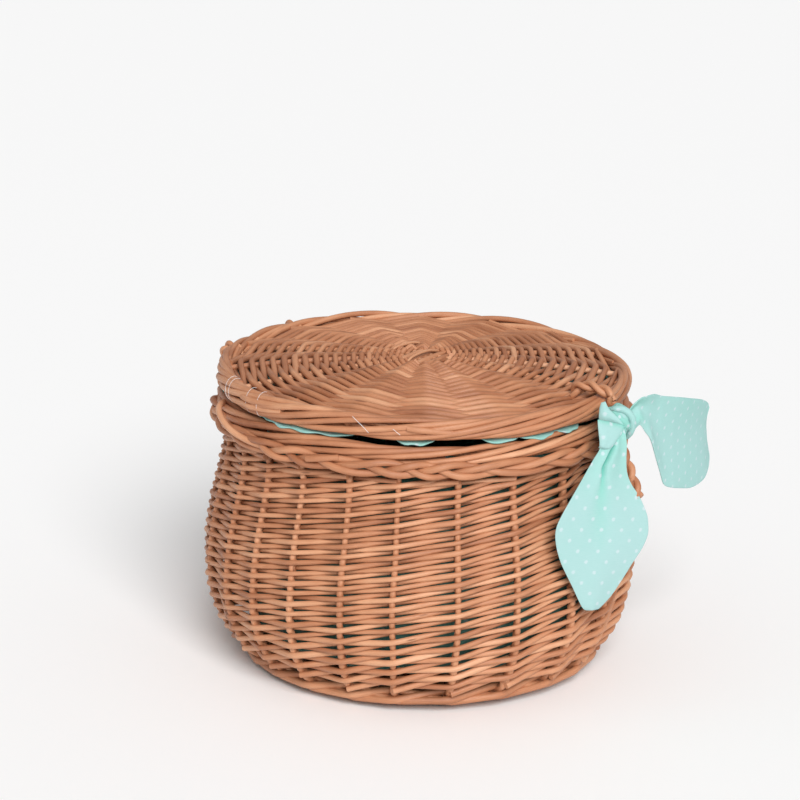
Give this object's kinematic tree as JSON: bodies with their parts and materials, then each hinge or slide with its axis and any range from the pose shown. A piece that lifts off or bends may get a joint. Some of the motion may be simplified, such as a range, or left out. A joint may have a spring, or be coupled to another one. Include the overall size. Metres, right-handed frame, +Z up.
{
  "type": "knitting basket",
  "caption": "Round bellied willow basket with a hinged woven lid, mint cotton lining, twisted willow clasp and a tied polka-dot ribbon.",
  "frame": {"origin": "middle of the basket's underside, on the flat under the crossed base sticks", "axes": "+Z up towards the lid, -Y towards the clasp and ribbon, +Y towards the hinge"},
  "size_m": [0.278, 0.3038, 0.2008],
  "materials": {
    "willow": "satin",
    "willow_light": "satin",
    "willow_dark": "satin",
    "cotton": "matte",
    "dotted_cotton": "matte"
  },
  "bodies": {
    "basket": {"base_slit_sticks": "willow_light", "base_through_sticks": "willow_light", "base_weaver": "willow", "basket_lining": "cotton", "border_plait_a": "willow_light", "border_plait_b": "willow_light", "hasp_staple": "willow", "hinge_strap_left_lower": "willow_light", "hinge_strap_right_lower": "willow_light", "rim_rod_inner": "willow_dark", "rim_rod_outer": "willow_dark", "rim_rod_top": "willow_dark", "stake_01": "willow_light", "stake_02": "willow_light", "stake_03": "willow_light", "stake_04": "willow_light", "stake_05": "willow_light", "stake_06": "willow_light", "stake_07": "willow_light", "stake_08": "willow_light", "stake_09": "willow_light", "stake_10": "willow_light", "stake_11": "willow_light", "stake_12": "willow_light", "stake_13": "willow_light", "stake_14": "willow_light", "stake_15": "willow_light", "stake_16": "willow_light", "stake_17": "willow_light", "stake_18": "willow_light", "stake_19": "willow_light", "stake_20": "willow_light", "stake_21": "willow_light", "stake_22": "willow_light", "stake_23": "willow_light", "stake_24": "willow_light", "upsett_wale": "willow_dark", "wall_weaver_a": "willow", "wall_weaver_b": "willow"},
    "lid": {"hasp_anchor": "willow_light", "hinge_strap_left_upper": "willow_light", "hinge_strap_right_upper": "willow_light", "lid_border_rod_lower": "willow_dark", "lid_border_rod_middle": "willow_dark", "lid_border_rod_upper": "willow_dark", "lid_lining": "cotton", "lid_slit_stick_1": "willow_light", "lid_slit_stick_2": "willow_light", "lid_slit_stick_3": "willow_light", "lid_slit_stick_4": "willow_light", "lid_through_stick_1": "willow_light", "lid_through_stick_2": "willow_light", "lid_through_stick_3": "willow_light", "lid_through_stick_4": "willow_light", "lid_weaver_a": "willow", "lid_weaver_b": "willow"},
    "hasp": {"hasp": "willow_light", "ribbon": "dotted_cotton"}
  },
  "joints": [
    {"name": "lid_hinge", "type": "hinge", "parent": "basket", "child": "lid", "pos_m": [0, 0.136, 0.1758], "axis": [-1, 0, 0], "range_deg": [0, 105]},
    {"name": "hasp_swing", "type": "hinge", "parent": "lid", "child": "hasp", "pos_m": [0, -0.1408, 0.1899], "axis": [-1, 0, 0], "range_deg": [0, 100]}
  ]
}
